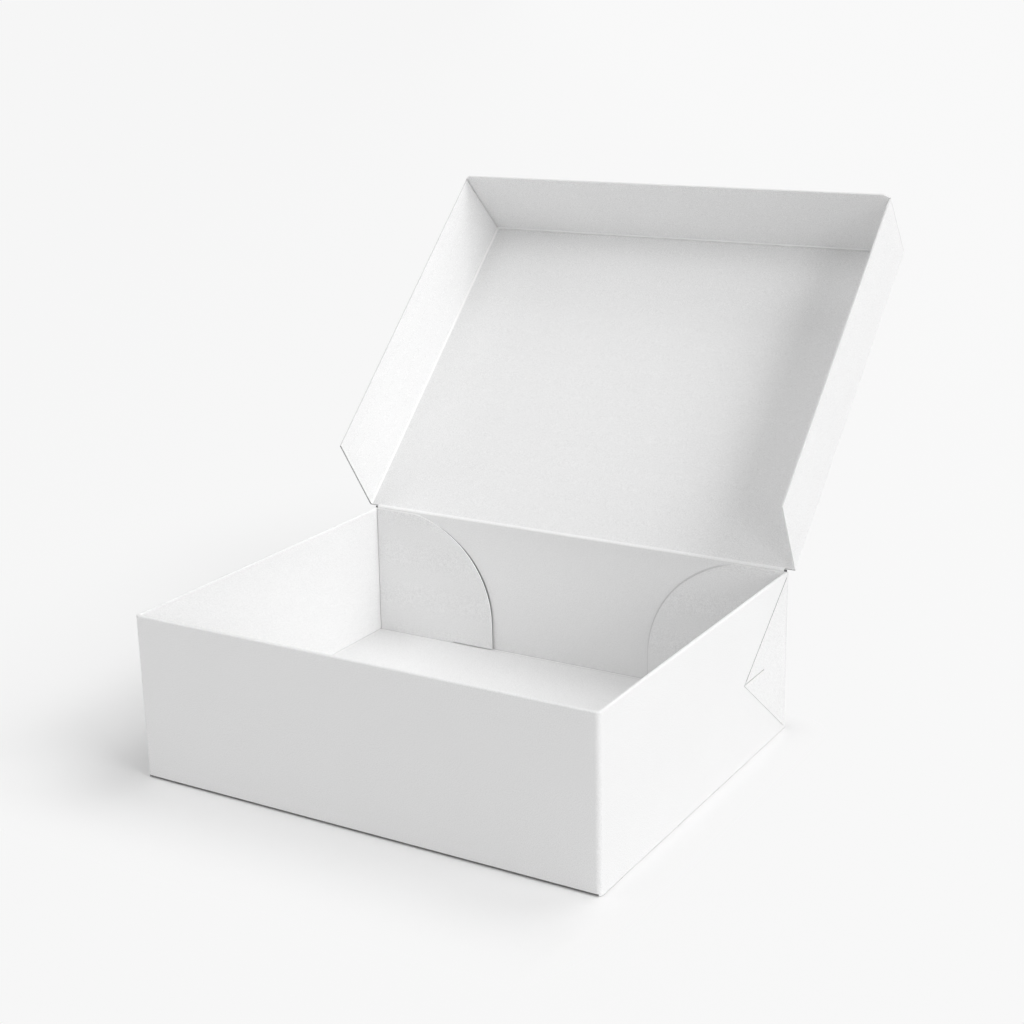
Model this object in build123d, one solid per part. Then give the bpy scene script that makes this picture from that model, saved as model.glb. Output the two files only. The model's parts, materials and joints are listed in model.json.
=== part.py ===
from build123d import *
import math
import os

# Pastry box of folded paperboard, open, in millimetres.
# +Z is up, -Y is the front, and the origin is on the table under the middle of the tray.

# Driving sizes of the tray
tray_width = 250.0  # outside, left to right
tray_depth = 200.0  # outside, front to back
rim_height = 84.0  # table to the top of the rolled rim
floor_height = 12.0  # table to the upper face of the floor
board = 0.8  # one layer of paperboard
layer_gap = 0.4  # spring between the two layers of a doubled wall
corner_radius = 2.4  # outside of the two front corners
inner_corner_radius = 0.5  # inside of the two front corners
rim_round_share = 0.45  # rim rounding, of the doubled wall
foot_gap = 1.2  # front wall's outer layer clear of the table, which the inner layer stands on
side_foot_gap = 0.35  # the same at the side walls
foot_round_share = 0.35  # rounding of the front layer's lower edge, of the board

# Driving sizes of the glued tabs
ear_reach = 74.7  # round ear inside the back wall, from the corner to its free edge
ear_straight = 14.5  # upright part of the ear's free edge
ear_curve_width = 61.0  # half axes of the ear's round edge
ear_curve_height = 58.0
ear_gap = 0.15  # top of the ear to the back wall
ear_lean = 1.1  # foot of the ear stands this much further off
ear_rim_gap = 0.1  # above the ear
ear_relief = 0.5  # lift of the ear's lower edge near its free end
ear_relief_run = 26.0  # length of that lift
groove_width = 0.5  # creased corners, seen inside the tray and the lid
groove_depth_share = 0.6  # of the board
tab_reach = 53.0  # triangular tab under the side wall's outer layer, from the back corner to its point
tab_sink = 0.15  # tab below the outer layer
tab_end_gap = 1.5  # above and below the tab
tab_tip = 1.5  # flat run at the tab's upper and lower ends
tab_seam_width = 0.9  # open seam along the tab's upper edge
tab_low_seam_width = 0.3  # and along its lower edge
slit_length = 24.0  # slit that runs back from the tab's point
slit_width = 0.5
slit_depth = 0.5
slit_start = 0.5  # from the tab's point

# Driving sizes of the lid
side_flap = 44.5  # height of the side flaps
front_flap_drop = 2.5  # front flap below the side flaps
front_flap_chamfer = 3.0  # cut at the front flap's lower corners
flap_flare_deg = 2.5  # side flaps lean outwards
rear_cut = 10.0  # slant of the side flaps' rear ends
lid_side_clearance = 2.8  # lid flap to the side wall
lid_front_clearance = 1.2  # lid flap to the front wall
lid_rest_clearance = 0.3  # closed panel to the rim
hinge_gap = 0.4  # crease bead to the panel's rear edge
lid_open_deg = 136.5  # as stored, from closed
fold_round_share = 0.9  # outside of the lid's folds, of the board
crease_share = 0.7  # radius of the crease beads inside the lid's folds, of the board

# One overrun for every cut
overrun = 5.0

# Sizes that follow
wall = 2 * board + layer_gap
half_width = tray_width / 2
half_depth = tray_depth / 2
foot_inset = board + layer_gap
inner_half_width = half_width - wall
back_inner_y = half_depth - board
front_inner_y = wall - half_depth
hinge_y = half_depth - board / 2
hinge_z = rim_height + lid_rest_clearance + board / 2


def bar(x_low, x_high, y_low, y_high, z_low, z_high):
    size = Box(x_high - x_low, y_high - y_low, z_high - z_low)
    return Pos((x_low + x_high) / 2, (y_low + y_high) / 2, (z_low + z_high) / 2) * size


def patch(low, high):
    (x_low, y_low), (x_high, y_high) = low, high
    return Pos((x_low + x_high) / 2, (y_low + y_high) / 2) * Rectangle(x_high - x_low, y_high - y_low)


def outline(points):
    return make_face(Polyline(*points, close=True))


# Doubled front and side walls: one U, open at the back
def doubled_walls():
    body = bar(-half_width, half_width, -half_depth, half_depth, 0, rim_height)
    back = half_depth + overrun
    body -= bar(-inner_half_width, inner_half_width, front_inner_y, back, -overrun, rim_height + overrun)

    def off_the_back(edge):
        return edge.center().Y < half_depth - board

    def on_the_outside(edge):
        beside = abs(edge.center().X) > inner_half_width + board / 2
        return beside or edge.center().Y < front_inner_y - board / 2

    uprights = body.edges().filter_by(Axis.Z).filter_by(off_the_back)
    body = fillet(uprights.filter_by(on_the_outside, reverse=True), inner_corner_radius)
    uprights = body.edges().filter_by(Axis.Z).filter_by(off_the_back)
    body = fillet(uprights.group_by(Axis.Y)[0], corner_radius)
    rim_edges = body.edges().group_by(Axis.Z)[-1].filter_by(off_the_back)
    body = fillet(rim_edges, wall * rim_round_share)

    # outer layer, ending just above the table
    front = -half_depth - overrun
    foot_side = half_width - foot_inset
    body -= bar(-foot_side, foot_side, front, foot_inset - half_depth, -overrun, foot_gap)
    right_foot = bar(foot_side, half_width + overrun, front, back, -overrun, side_foot_gap)
    body -= right_foot
    body -= mirror(right_foot, Plane.YZ)

    def under_the_front(edge):
        return edge.center().Y < board / 2 - half_depth and abs(edge.center().Z - foot_gap) < board / 2

    lower_edge = body.edges().filter_by(Axis.X).filter_by(under_the_front)
    return fillet(lower_edge, board * foot_round_share)


# Single back wall, ending in the round bead that the lid's crease turns about
def back_wall():
    section = Pos(hinge_y, hinge_z / 2) * Rectangle(board, hinge_z)
    section += Pos(hinge_y, hinge_z) * Circle(board / 2)
    return extrude(Plane.YZ * section, half_width - board, both=True)


# Floor, held inside the doubled walls above the table
def floor_panel():
    side = half_width - wall / 2
    front = wall / 2 - half_depth
    return bar(-side, side, front, hinge_y, floor_height - board, floor_height)


# Round ear folded in from the side wall, leaning on the top of the back wall, drawn on the right
def ear():
    high = rim_height - ear_rim_gap
    corner = inner_half_width
    free = corner - ear_reach
    lifted = floor_height + ear_relief
    shoulder = lifted + ear_straight
    round_end = free + ear_curve_width
    shape = Pos(round_end, shoulder) * Ellipse(ear_curve_width, ear_curve_height)
    shape += patch((round_end, lifted), (corner, high))
    shape += patch((free, lifted), (corner, shoulder))
    shape &= patch((free, lifted), (corner, high))
    shape += patch((free + ear_relief_run, floor_height - board / 2), (corner, shoulder))
    face_y = back_inner_y - ear_gap - board
    facing = Plane((0, face_y, 0), x_dir=(1, 0, 0), z_dir=(0, -1, 0))
    plate = extrude(facing * shape, -board)
    groove_y = face_y + board * groove_depth_share
    plate -= bar(corner - groove_width, corner, face_y - overrun, groove_y, 0, rim_height)
    lean_deg = math.degrees(math.atan2(ear_lean, high - floor_height))
    return plate.rotate(Axis((0, face_y, high), (1, 0, 0)), -lean_deg)


# Triangular tab that comes round the back corner under the side wall's outer layer, drawn on the right
def tab_pocket():
    low = tab_end_gap
    high = rim_height - tab_end_gap
    middle = rim_height / 2
    point_y = half_depth - tab_reach
    tip_y = half_depth - tab_tip
    back_y = half_depth + overrun
    shape = outline([(back_y, low), (back_y, high), (tip_y, high), (point_y, middle), (tip_y, low)])
    sunk_x = half_width - tab_sink
    pocket = extrude(Plane.YZ.offset(sunk_x) * shape, tab_sink + overrun)
    slit_y = point_y + slit_start
    half_slit = slit_width / 2
    slit_x = sunk_x - slit_depth
    end_y = slit_y + slit_length
    pocket += bar(slit_x, half_width + overrun, slit_y, end_y, middle - half_slit, middle + half_slit)
    rise = high - middle

    def seam(width):
        shift = width * math.hypot(rise, tip_y - point_y) / rise
        shape = outline([(point_y, middle), (point_y + shift, middle), (tip_y + shift, high), (tip_y, high)])
        return extrude(Plane.YZ.offset(slit_x) * shape, slit_depth + overrun)

    return pocket + seam(tab_seam_width) + mirror(seam(tab_low_seam_width), Plane.XY.offset(middle))


def make_tray():
    body = doubled_walls() + back_wall() + floor_panel()
    right_ear = ear()
    body += right_ear
    body += mirror(right_ear, Plane.YZ)
    right_pocket = tab_pocket()
    body -= right_pocket
    return body - mirror(right_pocket, Plane.YZ)


# Lid, drawn closed over the tray and then opened about the hinge
def make_lid():
    flare = math.tan(math.radians(flap_flare_deg))
    skin = board / math.cos(math.radians(flap_flare_deg))
    under = hinge_z - board / 2
    top = hinge_z + board / 2
    flap_end = under - side_flap
    below = flap_end - overrun
    lip = flap_end - front_flap_drop
    fold_half = half_width + lid_side_clearance
    front_in = -half_depth - lid_front_clearance
    front_out = front_in - board
    rear = hinge_y - board / 2 - hinge_gap

    def inside(z):
        return fold_half + (under - z) * flare

    def both_sides(points):
        return points + [(-x, z) for x, z in reversed(points)]

    top_half = inside(top) + skin
    end_half = inside(flap_end) + skin
    shell = outline(both_sides([(top_half, top), (end_half, flap_end)]))
    hollow = outline(both_sides([(fold_half, under), (inside(below), below)]))
    facing = Plane((0, rear, 0), x_dir=(1, 0, 0), z_dir=(0, -1, 0))
    body = extrude(facing * (shell - hollow), rear - front_out)
    chamfer_half = end_half - front_flap_chamfer
    front = outline(both_sides([(top_half, top), (end_half, flap_end), (chamfer_half, lip)]))
    body += extrude(facing.offset(rear - front_in) * front, board)

    # folds between the panel and its flaps, and the two glued corners
    def at_a_corner(edge):
        beside = abs(edge.center().X) > fold_half
        return beside and edge.length > side_flap and abs(edge.center().Y - front_out) < board / 2

    folds = body.edges().group_by(Axis.Z)[-1].filter_by(lambda edge: edge.center().Y < rear - board)
    corners = body.edges().filter_by(at_a_corner)
    body = fillet(folds + corners, board * fold_round_share)

    # creased seams inside the two glued corners
    depth = board * groove_depth_share
    end_x = inside(below)
    seam = outline([(fold_half, under), (fold_half + depth, under), (end_x + depth, below), (end_x, below)])
    right_seam = extrude(facing.offset(rear - front_in - groove_width) * seam, groove_width)
    body -= right_seam
    body -= mirror(right_seam, Plane.YZ)

    # beads that the creasing rule leaves inside the folds, and its groove beside the front one
    bead = board * crease_share
    side_run = Cylinder(bead, rear - front_in, rotation=(90, 0, 0))
    for fold_x in (-fold_half, fold_half):
        body += Pos(fold_x, (rear + front_in) / 2, under) * side_run
    body += Pos(0, front_in, under) * Cylinder(bead, 2 * fold_half, rotation=(0, 90, 0))
    groove_half = fold_half - bead
    groove_y = front_in + bead
    body -= bar(-groove_half, groove_half, groove_y, groove_y + groove_width, under - bead, under + depth)

    # slanted rear ends of the side flaps
    behind = rear + overrun
    cut_y = rear - rear_cut
    rear_end = outline([(behind, under), (rear, under), (cut_y, flap_end), (cut_y, below), (behind, below)])
    body -= extrude(Plane.YZ * rear_end, end_half + overrun, both=True)
    return body.rotate(Axis((0, hinge_y, hinge_z), (1, 0, 0)), -lid_open_deg)


os.makedirs("parts", exist_ok=True)
for name, solid in (("tray", make_tray()), ("lid", make_lid())):
    export_step(solid, f"parts/{name}.step")
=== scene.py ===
import bpy
import json
import math
from mathutils import Matrix, Vector


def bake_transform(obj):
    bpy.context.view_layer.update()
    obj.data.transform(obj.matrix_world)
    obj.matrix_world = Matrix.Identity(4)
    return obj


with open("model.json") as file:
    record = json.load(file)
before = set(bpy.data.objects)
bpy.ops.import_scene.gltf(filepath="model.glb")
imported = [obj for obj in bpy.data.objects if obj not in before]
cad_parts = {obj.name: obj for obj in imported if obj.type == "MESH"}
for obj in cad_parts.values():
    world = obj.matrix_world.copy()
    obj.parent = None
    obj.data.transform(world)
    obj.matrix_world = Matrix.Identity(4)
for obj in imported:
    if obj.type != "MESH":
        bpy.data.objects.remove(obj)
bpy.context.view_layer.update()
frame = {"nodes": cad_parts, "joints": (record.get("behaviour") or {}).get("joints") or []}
trayNode = frame["nodes"]["tray"]
lidNode = frame["nodes"]["lid"]
lidHinge = frame["joints"][0]
hingePoint = Vector(lidHinge["pos_m"])
storedOpening = math.radians(-lidHinge["range_deg"][0])  # from closed to the stored pose
mm = 0.001
pureWhite = (1.0, 1.0, 1.0, 1.0)
print("frame loaded, lid stored", round(math.degrees(storedOpening), 1), "degrees open")


# node helpers

def newMaterial(name):
    material = bpy.data.materials.new(name)
    material.use_nodes = True
    material.node_tree.nodes.clear()
    return material


def addNode(tree, kind, **settings):
    node = tree.nodes.new(kind)
    for key, value in settings.items():
        setattr(node, key, value)
    return node


def feed(tree, value, socket):
    if isinstance(value, (int, float)):
        socket.default_value = value
    else:
        tree.links.new(value, socket)


def calc(tree, operation, *values, clamp=False):
    node = addNode(tree, "ShaderNodeMath", operation=operation, use_clamp=clamp)
    for value, socket in zip(values, node.inputs):
        feed(tree, value, socket)
    return node.outputs["Value"]


def chain(tree, operation, values):
    result = values[0]
    for value in values[1:]:
        result = calc(tree, operation, result, value)
    return result


def largest(tree, *values):
    return chain(tree, "MAXIMUM", values)


def smallest(tree, *values):
    return chain(tree, "MINIMUM", values)


def allOf(tree, *masks):
    return chain(tree, "MULTIPLY", masks)


def off(tree, value, line):
    return calc(tree, "SUBTRACT", value, line)


def above(tree, value, limit):
    return calc(tree, "GREATER_THAN", value, limit)


def below(tree, value, limit):
    return calc(tree, "LESS_THAN", value, limit)


def between(tree, value, low, high):
    return allOf(tree, above(tree, value, low), below(tree, value, high))


def ramp(tree, value, start, end, low=0.0, high=1.0):
    node = addNode(tree, "ShaderNodeMapRange", interpolation_type="SMOOTHSTEP")
    feed(tree, value, node.inputs["Value"])
    feed(tree, start, node.inputs["From Min"])
    feed(tree, end, node.inputs["From Max"])
    feed(tree, low, node.inputs["To Min"])
    feed(tree, high, node.inputs["To Max"])
    return node.outputs["Result"]


def nearLine(tree, away, reach, core, amount=1.0):
    return ramp(tree, away, reach, core * reach, 0.0, amount)


def distance(tree, first, second):
    node = addNode(tree, "ShaderNodeCombineXYZ")
    feed(tree, first, node.inputs["X"])
    feed(tree, second, node.inputs["Y"])
    length = addNode(tree, "ShaderNodeVectorMath", operation="LENGTH")
    tree.links.new(node.outputs["Vector"], length.inputs[0])
    return length.outputs["Value"]


def axes(tree, place):
    node = addNode(tree, "ShaderNodeSeparateXYZ")
    tree.links.new(place, node.inputs["Vector"])
    return node.outputs["X"], node.outputs["Y"], node.outputs["Z"]


def mixColour(tree, share, base, colour):
    node = addNode(tree, "ShaderNodeMix", data_type="RGBA")
    feed(tree, share, node.inputs["Factor"])
    tree.links.new(base, node.inputs["A"])
    node.inputs["B"].default_value = colour
    return node.outputs["Result"]


# white paperboard with painted highlights on its creases, its cut edges, and painted shade in its
# seams and gaps

paperboard = {
    "colour": (0.866, 0.866, 0.866, 1.0),
    "specular": 0.3,
    "roughness": 0.72,
    "roughnessSpread": 0.22,
    # uneven formation of the sheet, about 24 mm across
    "cloud": {"scale": 42.0, "detail": 3.0, "roughness": 0.5},
    "cloudDepth": 0.02,
    # matted fibres, about 1 mm
    "fibre": {"scale": 1000.0, "detail": 2.0, "roughness": 0.6},
    "fibreStretch": 0.8,
    "fibreDepth": 0.06,
    # fine tooth of the surface
    "tooth": {"scale": 2600.0, "detail": 1.0, "roughness": 0.5},
    "toothDepth": 0.5,
    "noiseMiddle": 0.5,
    "bumpHeight": 0.05 * mm,
    "bumpStrength": 0.2,
    "bumpFibre": 1.6,  # fibres against the tooth
    "creaseHighlightColour": (0.99, 0.99, 0.99, 1.0),  # painted highlight along a fold
    "creaseCover": 0.95,
    "creaseBreak": 1.0,  # broken up by the fibres
    "cutColour": (0.8, 0.8, 0.8, 1.0),  # raw core of the board
    # painted shade in seams, slots and gaps and beside the ears
    "paintedShadeColour": (0.12, 0.12, 0.12, 1.0),
}


def noiseLayer(tree, place, layer):
    noise = addNode(tree, "ShaderNodeTexNoise", noise_dimensions="3D")
    noise.inputs["Scale"].default_value = layer["scale"]
    noise.inputs["Detail"].default_value = layer["detail"]
    noise.inputs["Roughness"].default_value = layer["roughness"]
    tree.links.new(place, noise.inputs["Vector"])
    return off(tree, noise.outputs["Fac"], paperboard["noiseMiddle"])


def makePaperboard(name, folded=None, masks=None, sheetColour=paperboard["colour"]):
    look = paperboard
    material = newMaterial(name)
    tree = material.node_tree
    output = addNode(tree, "ShaderNodeOutputMaterial")
    shader = addNode(tree, "ShaderNodeBsdfPrincipled")
    place = addNode(tree, "ShaderNodeTexCoord").outputs["Object"]

    stretch = addNode(tree, "ShaderNodeMapping")
    stretch.inputs["Scale"].default_value = (look["fibreStretch"], 1.0, 1.0)
    tree.links.new(place, stretch.inputs["Vector"])
    cloud = noiseLayer(tree, place, look["cloud"])
    fibre = noiseLayer(tree, stretch.outputs["Vector"], look["fibre"])
    tooth = noiseLayer(tree, place, look["tooth"])

    tone = calc(tree, "MULTIPLY_ADD", cloud, look["cloudDepth"], 1.0)
    tone = calc(tree, "MULTIPLY_ADD", fibre, look["fibreDepth"], tone)
    tone = calc(tree, "MULTIPLY_ADD", tooth, look["toothDepth"], tone)
    sheet = addNode(tree, "ShaderNodeVectorMath", operation="SCALE")
    sheet.inputs[0].default_value = sheetColour[:3]
    tree.links.new(tone, sheet.inputs["Scale"])
    colour = sheet.outputs["Vector"]
    if masks:
        # painted highlights on creases and edges, the tone of cut edges, painted shade in seams and
        # gaps
        crease, cut, paintedShade = masks(tree, axes(tree, folded(tree, place) if folded else place))
        broken = calc(
            tree, "MULTIPLY_ADD", fibre, look["creaseBreak"], look["creaseCover"], clamp=True
        )
        colour = mixColour(tree, allOf(tree, crease, broken), colour, look["creaseHighlightColour"])
        colour = mixColour(tree, cut, colour, look["cutColour"])
        colour = mixColour(tree, paintedShade, colour, look["paintedShadeColour"])
    tree.links.new(colour, shader.inputs["Base Color"])

    rough = calc(tree, "ADD", cloud, fibre)
    rough = calc(
        tree, "MULTIPLY_ADD", rough, look["roughnessSpread"], look["roughness"], clamp=True
    )
    tree.links.new(rough, shader.inputs["Roughness"])
    shader.inputs["Specular IOR Level"].default_value = look["specular"]

    bump = addNode(tree, "ShaderNodeBump")
    bump.inputs["Strength"].default_value = look["bumpStrength"]
    bump.inputs["Distance"].default_value = look["bumpHeight"]
    height = calc(tree, "MULTIPLY_ADD", fibre, look["bumpFibre"], tooth)
    tree.links.new(height, bump.inputs["Height"])
    tree.links.new(bump.outputs["Normal"], shader.inputs["Normal"])
    tree.links.new(shader.outputs["BSDF"], output.inputs["Surface"])
    return material


# a core is the share of a reach that has the full tone
traySheet = {
    "halfWidth": 125.0 * mm,
    "halfDepth": 100.0 * mm,
    "rim": 84.0 * mm,
    "inner": 123.0 * mm,  # inner faces of the side walls, front wall and back wall
    "innerFront": -98.0 * mm,
    "innerBack": 99.2 * mm,
    "floor": 12.0 * mm,
    "skin": 0.05 * mm,
    "creaseReach": 0.9 * mm,
    "creaseCore": 0.4,
    "creaseLight": 0.2,
    "beadRise": (0.3 * mm, 0.9 * mm),  # back wall's bead, above the rim
    "earTop": 83.9 * mm,
    "earFace": 98.25 * mm,  # front of the ears at their top
    "earThick": 0.8 * mm,
    "earLean": 1.1 / 71.9,  # towards the front at their foot
    "earMiddle": (109.3 * mm, 27.0 * mm),  # of their round edge
    "earAxes": (61.0 * mm, 58.0 * mm),
    "earMargin": 0.6 * mm,  # corner and foot, which have no cut edge
    "slotRise": (80.0 * mm, 76.0 * mm, 50.0 * mm, 14.0 * mm),  # painted shade behind the ears, from the top down
    "slotDark": 0.9,
    "slotFoot": 0.15,
    "rightShade": 0.19,  # painted shade on the wall beside the right ear
    "rightReach": 0.9 * mm,
    "rightLean": 0.5,  # wider where the ear stands further off
    "rightCore": 0.75,
    "rightRise": (84.0 * mm, 81.0 * mm),
    "leftShade": 0.6,  # and beside the middle of the left ear
    "leftReach": 0.7 * mm,
    "leftCore": 0.5,
    "leftRise": (74.0 * mm, 62.0 * mm, 50.0 * mm, 30.0 * mm),
    "foldReach": 0.32 * mm,  # painted shade line round the floor
    "foldCore": 0.5,
    "foldShade": 0.16,
    "seamDepth": (124.2 * mm, 124.82 * mm),  # painted shade in the open seams of the triangular tabs
    "seamRun": (46.0 * mm, 98.7 * mm),
    "seamRise": (1.45 * mm, 82.6 * mm),
    "seamTurn": (42.4 * mm, 44.0 * mm),  # open above the tabs' points, nearly shut below
    "seamShade": (0.3, 0.75),
    "footGap": 1.25 * mm,  # painted shade in the gap under the front wall's outer layer
    "footDepth": -98.75 * mm,
    "footHalf": 123.9 * mm,
    "footDark": 0.8,
    "notch": 122.9 * mm,  # painted shade at the ends of the hinge crease
    "notchRise": 0.15 * mm,
}


def trayMasks(tree, xyz):
    x, y, z = xyz
    tray = traySheet
    skin = tray["skin"]
    side = calc(tree, "ABSOLUTE", x)
    offSide = off(tree, side, tray["halfWidth"])
    offFront = off(tree, y, -tray["halfDepth"])
    offRim = off(tree, z, tray["rim"])
    offBack = off(tree, y, tray["innerBack"])
    offFloor = off(tree, z, tray["floor"])

    # painted highlight on the outer edges, the back wall's bead and the cut edges of the ears
    nearEdge = smallest(
        tree, distance(tree, offSide, offFront), distance(tree, offSide, offRim),
        distance(tree, offFront, offRim),
    )
    edge = nearLine(tree, nearEdge, tray["creaseReach"], tray["creaseCore"], tray["creaseLight"])
    bead = ramp(tree, offRim, *tray["beadRise"])
    lean = allOf(tree, off(tree, tray["earTop"], z), tray["earLean"])
    offEar = calc(tree, "ADD", off(tree, y, tray["earFace"]), lean)
    onEar = allOf(
        tree, between(tree, offEar, skin, tray["earThick"] - skin),
        below(tree, side, tray["inner"] - tray["earMargin"]),
        above(tree, z, tray["floor"] + tray["earMargin"]),
    )
    crease = largest(tree, edge, bead, onEar)

    # painted shade in the slot behind the ears and beside their round edge, where roundEar is 1
    acrossEar = smallest(tree, off(tree, side, tray["earMiddle"][0]), 0.0)
    acrossEar = calc(tree, "DIVIDE", acrossEar, tray["earAxes"][0])
    upEar = largest(tree, off(tree, z, tray["earMiddle"][1]), 0.0)
    upEar = calc(tree, "DIVIDE", upEar, tray["earAxes"][1])
    roundEar = distance(tree, acrossEar, upEar)
    onBack = between(tree, offBack, -skin, skin)
    slotTop, slotUpper, slotLower, slotEnd = tray["slotRise"]
    slot = allOf(
        tree, below(tree, roundEar, 1.0), onBack, ramp(tree, z, slotTop, slotUpper),
        ramp(tree, z, slotEnd, slotLower, tray["slotFoot"], tray["slotDark"]),
    )
    outsideEar = allOf(tree, off(tree, roundEar, 1.0), tray["earAxes"][1])
    rightReach = calc(tree, "MULTIPLY_ADD", lean, tray["rightLean"], tray["rightReach"])
    outsideRight = calc(tree, "DIVIDE", outsideEar, rightReach)
    rightShade = allOf(
        tree, onBack, above(tree, x, 0.0), nearLine(tree, outsideRight, 1.0, tray["rightCore"]),
        ramp(tree, z, *tray["rightRise"]), tray["rightShade"],
    )
    leftTop, leftUpper, leftLower, leftEnd = tray["leftRise"]
    leftShade = allOf(
        tree, onBack, below(tree, x, 0.0),
        nearLine(tree, outsideEar, tray["leftReach"], tray["leftCore"]),
        ramp(tree, z, leftTop, leftUpper), ramp(tree, z, leftEnd, leftLower), tray["leftShade"],
    )

    # painted shade line where the floor meets the walls and the ears
    nearFloor = smallest(
        tree, distance(tree, off(tree, side, tray["inner"]), offFloor),
        distance(tree, off(tree, y, tray["innerFront"]), offFloor),
        distance(tree, offBack, offFloor), distance(tree, offEar, offFloor),
    )
    fold = nearLine(tree, nearFloor, tray["foldReach"], tray["foldCore"], tray["foldShade"])

    # raw lower edges that the box stands on
    cut = below(tree, z, skin)

    # painted shade in the open seams of the triangular tabs, the gap under the front wall and the
    # ends of the hinge crease
    paintedShade = allOf(
        tree, between(tree, side, *tray["seamDepth"]), between(tree, y, *tray["seamRun"]),
        between(tree, z, *tray["seamRise"]), ramp(tree, z, *tray["seamTurn"], *tray["seamShade"]),
    )
    foot = allOf(
        tree, below(tree, z, tray["footGap"]), below(tree, y, tray["footDepth"]),
        below(tree, side, tray["footHalf"]), tray["footDark"],
    )
    notch = allOf(tree, above(tree, side, tray["notch"]), above(tree, offRim, tray["notchRise"]))
    return crease, cut, largest(tree, slot, rightShade, leftShade, fold, paintedShade, foot, notch)


# sizes of the lid as it lies closed, from the hinge
lidSheet = {
    "board": 0.8 * mm,
    "foldHalf": 127.8 * mm,
    "front": -200.8 * mm,
    "inside": -0.4 * mm,
    "outside": 0.4 * mm,
    "flapEnd": -44.9 * mm,
    "lip": -47.4 * mm,
    "endHalf": 130.54 * mm,
    "chamfer": 3.0 * mm,
    "rear": -0.8 * mm,
    "rearCut": 10.0 * mm,
    "rearStart": -0.3 * mm,  # slanted rear ends begin below the panel
    "skin": 0.05 * mm,
    "frontSkin": 0.1 * mm,
    "creaseReach": 0.9 * mm,  # folds, seen inside
    "creaseCore": 0.6,
    "edgeReach": 0.9 * mm,  # and outside
    "edgeCore": 0.3,
    "rearDark": 0.6,  # slanted rear end of the left flap, which is in its own shade
    "hingeHalf": 122.9 * mm,
    "besideDark": 0.55,  # painted shade on the rear edge beside the hinge
    "gapEdge": 0.5 * mm,  # painted shade along the front fold, as if it opened a little at the right corner
    "gapFrom": 100.0 * mm,
    "gapWidth": (0.3 * mm, 0.8 * mm),
    "gapSoft": (-0.1, 0.1, 0.6, 1.0),  # of its width
    "gapHeight": 0.5 * mm,
    "gapDark": 0.7,
    "cornerReach": 1.3 * mm,  # painted shade line at the glued front corners, seen outside
    "cornerCore": 0.6,
    "cornerShade": 0.26,
}


def closedLid(tree, place):
    turn = addNode(tree, "ShaderNodeMapping")
    turn.inputs["Rotation"].default_value = (storedOpening, 0.0, 0.0)
    turn.inputs["Location"].default_value = -(Matrix.Rotation(storedOpening, 3, "X") @ hingePoint)
    tree.links.new(place, turn.inputs["Vector"])
    return turn.outputs["Vector"]


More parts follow.
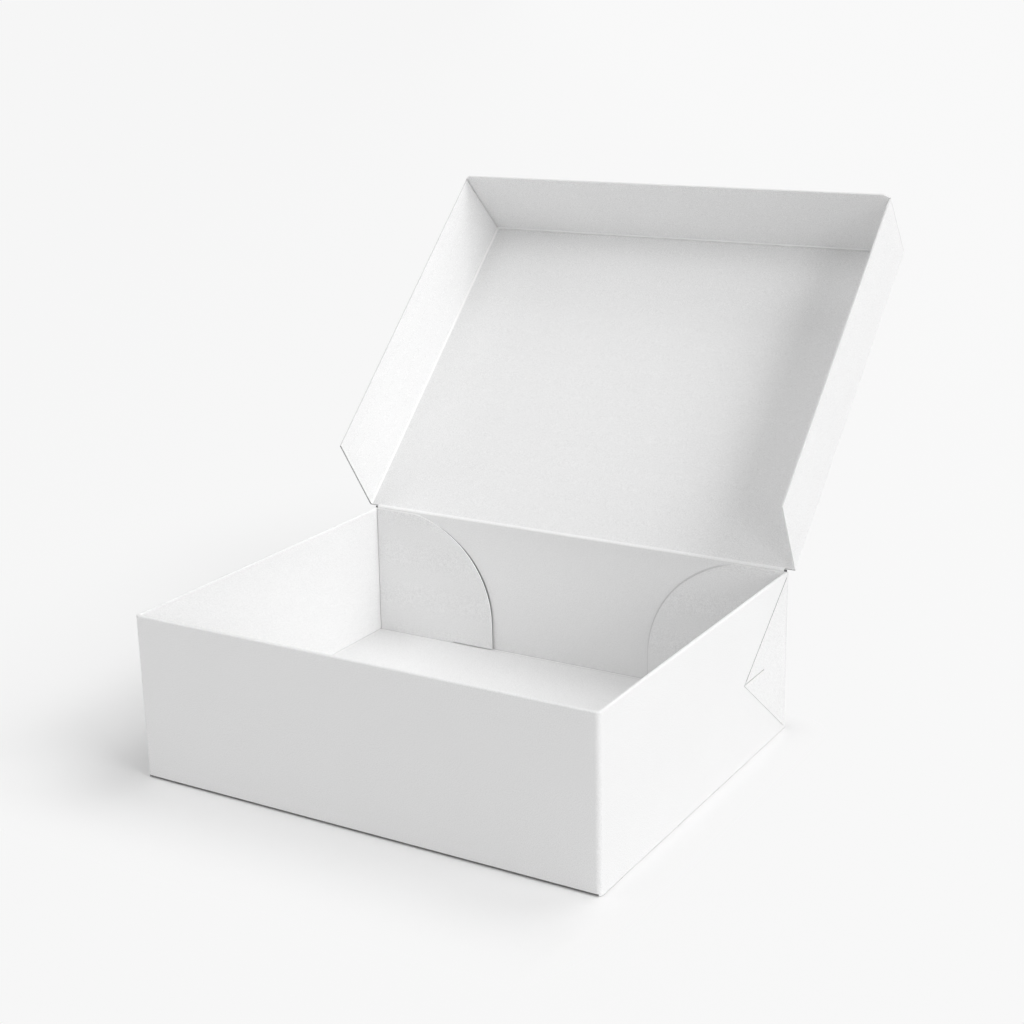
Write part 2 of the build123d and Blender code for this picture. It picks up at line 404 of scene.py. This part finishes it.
def lidMasks(tree, xyz):
    x, y, z = xyz
    lid = lidSheet
    skin = lid["skin"]
    side = calc(tree, "ABSOLUTE", x)
    offFold = off(tree, side, lid["foldHalf"])
    offFront = off(tree, y, lid["front"])
    offInside = off(tree, z, lid["inside"])
    offEdge = off(tree, offFold, lid["board"])
    offNose = off(tree, offFront, -lid["board"])
    offTop = off(tree, z, lid["outside"])
    offEnd = off(tree, z, lid["flapEnd"])

    # painted highlight along the folds, inside and outside
    inner = smallest(tree, distance(tree, offFold, offInside), distance(tree, offFront, offInside))
    outer = smallest(tree, distance(tree, offEdge, offTop), distance(tree, offNose, offTop))
    crease = largest(
        tree, nearLine(tree, inner, lid["creaseReach"], lid["creaseCore"]),
        nearLine(tree, outer, lid["edgeReach"], lid["edgeCore"]),
    )

    # raw edges: flap ends, front lip with its chamfers, slanted rear ends
    onFront = below(tree, offFront, lid["frontSkin"])
    sideEnd = allOf(tree, below(tree, offEnd, skin), off(tree, 1.0, onFront))
    frontEnd = below(tree, z, lid["lip"] + skin)
    drop = lid["flapEnd"] - lid["lip"]
    slope = math.hypot(drop, lid["chamfer"])
    across = allOf(tree, off(tree, side, lid["endHalf"]), drop / slope)
    across = calc(tree, "MULTIPLY_ADD", offEnd, -lid["chamfer"] / slope, across)
    chamferEnd = allOf(tree, above(tree, across, -skin), onFront, below(tree, offEnd, 0.0))
    flapLength = lid["inside"] - lid["flapEnd"]
    slant = math.hypot(flapLength, lid["rearCut"])
    back = allOf(tree, off(tree, y, lid["rear"]), flapLength / slant)
    back = calc(tree, "MULTIPLY_ADD", offInside, -lid["rearCut"] / slant, back)
    rearEnd = allOf(tree, above(tree, back, -skin), below(tree, offInside, lid["rearStart"]))
    cut = largest(tree, sideEnd, frontEnd, chamferEnd, rearEnd)

    # painted shade along the front fold, wider and deeper to the right
    gapRun = (lid["gapFrom"], lid["foldHalf"])
    wide = ramp(tree, x, *gapRun, *lid["gapWidth"])
    deep = ramp(tree, x, *gapRun)
    along = calc(tree, "DIVIDE", off(tree, offFront, lid["gapEdge"]), wide)
    gapStart, gapFull, gapThin, gapEnd = lid["gapSoft"]
    onPanel = below(tree, calc(tree, "ABSOLUTE", offInside), lid["gapHeight"])
    gap = allOf(
        tree, ramp(tree, along, gapStart, gapFull), ramp(tree, along, gapEnd, gapThin),
        deep, deep, lid["gapDark"], onPanel, below(tree, side, lid["foldHalf"]),
    )

    # painted shade on the rear edge beside the hinge, the left flap's rear end and the glued
    # corners
    beside = allOf(
        tree, above(tree, y, lid["rear"] - skin), above(tree, side, lid["hingeHalf"]),
        lid["besideDark"],
    )
    shade = allOf(tree, rearEnd, below(tree, x, 0.0), lid["rearDark"])
    flare = (lid["endHalf"] - lid["foldHalf"] - lid["board"]) / flapLength
    offFlap = calc(tree, "MULTIPLY_ADD", offInside, flare, offFold)
    corner = allOf(
        tree, above(tree, offFlap, 0.5 * lid["board"]),
        nearLine(tree, offNose, lid["cornerReach"], lid["cornerCore"]), lid["cornerShade"],
    )
    return crease, cut, largest(tree, gap, beside, shade, corner)


def dress(node, material):
    node.data.materials.clear()
    node.data.materials.append(material)


dress(trayNode, makePaperboard("trayPaperboard", masks=trayMasks))
dress(lidNode, makePaperboard("lidPaperboard", folded=closedLid, masks=lidMasks))
print("paperboard on the tray and the lid")


# crease that joins the back wall and the lid, one soft ridge along the hinge

hingeCrease = {
    "length": 245.6 * mm,
    "run": 1.3 * mm,  # from the back wall's bead onto the lid's rear edge
    "thickness": 0.84 * mm,
    "cuts": 9,
    "ridge": 0.12 * mm,
    "ridgeSteps": ((0.42, 0.6), (0.22, 0.4)),  # shares of the run and of the ridge
    "topShare": 0.9,  # edges above it are on the inner side
    "bendFrom": 0.2 * mm,
    "bendTo": 0.9 * mm,
    "smoothAngle": 50,
    # painted highlight: lighter than the sheet, so the ridge reads bright
    "colour": (0.97, 0.97, 0.97, 1.0),
}


def selectEdges(obj, test):
    bpy.ops.object.mode_set(mode="OBJECT")
    mesh = obj.data
    for group in (mesh.vertices, mesh.edges, mesh.polygons):
        group.foreach_set("select", [False] * len(group))
    for edge in mesh.edges:
        first, second = (mesh.vertices[index].co for index in edge.vertices)
        edge.select = test(first, second)
    bpy.ops.object.mode_set(mode="EDIT")


def addHingeCrease():
    size = hingeCrease
    halfRun = 0.5 * size["run"]
    innerSide = 0.5 * size["thickness"] * size["topShare"]
    bpy.ops.object.select_all(action="DESELECT")
    bpy.ops.mesh.primitive_cube_add(size=1.0, location=(0, 0, 0))
    crease = bpy.context.active_object
    crease.name = "hingeCrease"
    bpy.ops.object.mode_set(mode="EDIT")
    bpy.ops.mesh.select_mode(type="EDGE")
    bpy.ops.mesh.select_all(action="SELECT")
    bpy.ops.transform.resize(value=(size["length"], size["run"], size["thickness"]))
    # cuts across the run
    selectEdges(crease, lambda a, b: abs(a.y - b.y) > halfRun)
    bpy.ops.mesh.subdivide(number_cuts=size["cuts"])
    # ridge on the inner side
    for width, lift in size["ridgeSteps"]:
        halfRidge = width * size["run"]
        selectEdges(
            crease,
            lambda a, b: min(a.z, b.z) > innerSide and max(abs(a.y), abs(b.y)) < halfRidge,
        )
        bpy.ops.transform.translate(value=(0, 0, lift * size["ridge"]))
    # out from the hinge line along the stored lid
    bpy.ops.mesh.select_all(action="SELECT")
    bpy.ops.transform.translate(value=(0, -halfRun, 0))
    bpy.ops.object.mode_set(mode="OBJECT")
    crease.data.transform(Matrix.Diagonal((1.0, 1.0, -1.0, 1.0)))  # inner side down on a closed lid
    crease.data.flip_normals()
    crease.data.transform(Matrix.Translation(hingePoint) @ Matrix.Rotation(-storedOpening, 4, "X"))
    bpy.ops.object.shade_smooth_by_angle(angle=math.radians(size["smoothAngle"]))
    crease.data.materials.append(makePaperboard("creaseHighlightPaperboard", sheetColour=size["colour"]))
    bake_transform(crease)


addHingeCrease()
print("hinge crease joined")


# pale floor: it has the box's own shadow near the foot and fades to an even white further off.
# A pull makes that fade sooner, and pairs are for the left and the right end of the box.

studioFloor = {
    "size": 60.0,
    "colour": (0.9, 0.9, 0.9, 1.0),
    "footHalf": 125.0 * mm,
    "footFront": -100.0 * mm,
    "footBack": (60.0 * mm, 97.0 * mm),
    "fadeTo": 0.14,
    "frontPull": 1.8,
    "rightPull": 14.0,  # the lit side
    "backPull": (1.0, 14.0),
    "tailTo": 0.3,  # a last trace of shadow, out to the left
    "tailShare": 0.35,
    "tailFrontPull": 4.0,
    "tailBack": 0.2,
    "acrossView": (0.86, 0.51),  # the white grows a little from left to right
    "toneRun": (-0.7, 0.7),
    "tone": (0.922, 0.945),
}


def seenRay(tree):
    path = addNode(tree, "ShaderNodeLightPath").outputs
    return largest(tree, path["Is Camera Ray"], path["Is Glossy Ray"], path["Is Transmission Ray"])


def floorFade(tree, x, y):
    look = studioFloor
    half = look["footHalf"]
    foot = (-half, half)
    toRight = largest(tree, off(tree, x, half), 0.0)
    toLeft = largest(tree, off(tree, -half, x), 0.0)
    beside = calc(tree, "MULTIPLY_ADD", toRight, look["rightPull"], toLeft)
    toFront = off(tree, look["footFront"], y)
    toBack = off(tree, y, ramp(tree, x, *foot, *look["footBack"]))
    toBack = allOf(tree, toBack, ramp(tree, x, *foot, *look["backPull"]))
    along = largest(tree, allOf(tree, toFront, look["frontPull"]), toBack, 0.0)
    fade = ramp(tree, distance(tree, beside, along), 0.0, look["fadeTo"])

    tailSide = off(tree, y, look["footBack"][1])
    tailSide = allOf(tree, tailSide, ramp(tree, x, *foot, 0.0, look["backPull"][1]))
    tailFront = allOf(tree, toFront, look["tailFrontPull"])
    tailEnd = off(tree, y, look["tailBack"])
    tail = distance(tree, beside, largest(tree, tailFront, tailSide, tailEnd, 0.0))
    tail = ramp(tree, tail, 0.0, look["tailTo"], 1.0 - look["tailShare"], 1.0)
    return allOf(tree, fade, tail)


def addFloor():
    look = studioFloor
    bpy.ops.object.select_all(action="DESELECT")
    bpy.ops.mesh.primitive_plane_add(size=look["size"], location=(0, 0, 0))
    floor = bpy.context.active_object
    floor.name = "studioFloor"
    material = newMaterial("paleFloor")
    tree = material.node_tree
    output = addNode(tree, "ShaderNodeOutputMaterial")
    matte = addNode(tree, "ShaderNodeBsdfDiffuse")
    matte.inputs["Color"].default_value = look["colour"]
    x, y = axes(tree, addNode(tree, "ShaderNodeTexCoord").outputs["Object"])[:2]
    across = allOf(tree, x, look["acrossView"][0])
    across = calc(tree, "MULTIPLY_ADD", y, look["acrossView"][1], across)
    glow = addNode(tree, "ShaderNodeEmission")
    glow.inputs["Color"].default_value = pureWhite
    tone = ramp(tree, across, *look["toneRun"], *look["tone"])
    tree.links.new(tone, glow.inputs["Strength"])
    mix = addNode(tree, "ShaderNodeMixShader")
    tree.links.new(allOf(tree, floorFade(tree, x, y), seenRay(tree)), mix.inputs["Fac"])
    tree.links.new(matte.outputs["BSDF"], mix.inputs[1])
    tree.links.new(glow.outputs["Emission"], mix.inputs[2])
    tree.links.new(mix.outputs["Shader"], output.inputs["Surface"])
    floor.data.materials.append(material)


# world: soft light for the box, an even white where it is seen

studioWorld = {"light": 0.205, "white": 0.928}


def addWorld():
    world = bpy.data.worlds.new("studioWorld")
    bpy.context.scene.world = world
    world.use_nodes = True
    tree = world.node_tree
    tree.nodes.clear()
    output = addNode(tree, "ShaderNodeOutputWorld")
    light = addNode(tree, "ShaderNodeBackground")
    white = addNode(tree, "ShaderNodeBackground")
    for shade, strength in ((light, studioWorld["light"]), (white, studioWorld["white"])):
        shade.inputs["Color"].default_value = pureWhite
        shade.inputs["Strength"].default_value = strength
    mix = addNode(tree, "ShaderNodeMixShader")
    tree.links.new(seenRay(tree), mix.inputs["Fac"])
    tree.links.new(light.outputs["Background"], mix.inputs[1])
    tree.links.new(white.outputs["Background"], mix.inputs[2])
    tree.links.new(mix.outputs["Shader"], output.inputs["Surface"])


# lamps: azimuth 0 is in front of the box, 90 to its right

lampAim = Vector((0, 0.05, 0.08))
lamps = {
    "rightSoftbox": {"azimuth": 80, "elevation": 32, "reach": 4.0, "size": 2.35, "power": 61.0},
    "rightKey": {"azimuth": 95, "elevation": 45, "reach": 4.0, "size": 1.18, "power": 16.0},
    "lowKey": {"azimuth": 50, "elevation": 14, "reach": 4.0, "size": 1.18, "power": 18.5},
    "leftFill": {"azimuth": 300, "elevation": 20, "reach": 1.7, "size": 1.0, "power": 4.4},
    "frontTop": {"azimuth": 315, "elevation": 60, "reach": 1.7, "size": 1.0, "power": 6.16},
    "backTop": {"azimuth": 145, "elevation": 60, "reach": 1.7, "size": 1.0, "power": 8.48},
}


def addLamp(name, lamp):
    data = bpy.data.lights.new(name, "AREA")
    data.shape = "DISK"
    data.size = lamp["size"]
    data.energy = lamp["power"]
    obj = bpy.data.objects.new(name, data)
    bpy.context.scene.collection.objects.link(obj)
    turn = math.radians(lamp["azimuth"])
    rise = math.radians(lamp["elevation"])
    level = math.cos(rise)
    toLamp = Vector((math.sin(turn) * level, -math.cos(turn) * level, math.sin(rise)))
    obj.location = lampAim + toLamp * lamp["reach"]
    obj.rotation_euler = (-toLamp).to_track_quat("-Z", "Y").to_euler()


addFloor()
addWorld()
for lampName, lampValues in lamps.items():
    addLamp(lampName, lampValues)
print("floor, world and", len(lamps), "lamps")


# camera where the photographer stood

photoCamera = {
    "place": (0.441892, -0.691047, 0.371805),
    "right": (0.859474, 0.510767, -0.020527),
    "up": (-0.13061, 0.258248, 0.957209),
    "lens": 62.785,
    "sensor": 36.0,
    "clipEnd": 100,
}


def addCamera():
    data = bpy.data.cameras.new("photoCamera")
    data.lens = photoCamera["lens"]
    data.sensor_width = photoCamera["sensor"]
    data.clip_end = photoCamera["clipEnd"]
    camera = bpy.data.objects.new("photoCamera", data)
    bpy.context.scene.collection.objects.link(camera)
    right = Vector(photoCamera["right"]).normalized()
    up = Vector(photoCamera["up"]).normalized()
    turn = Matrix((right, up, right.cross(up))).transposed()
    camera.matrix_world = Matrix.Translation(photoCamera["place"]) @ turn.to_4x4()
    bpy.context.scene.camera = camera


addCamera()
bpy.context.scene.view_settings.view_transform = "Standard"
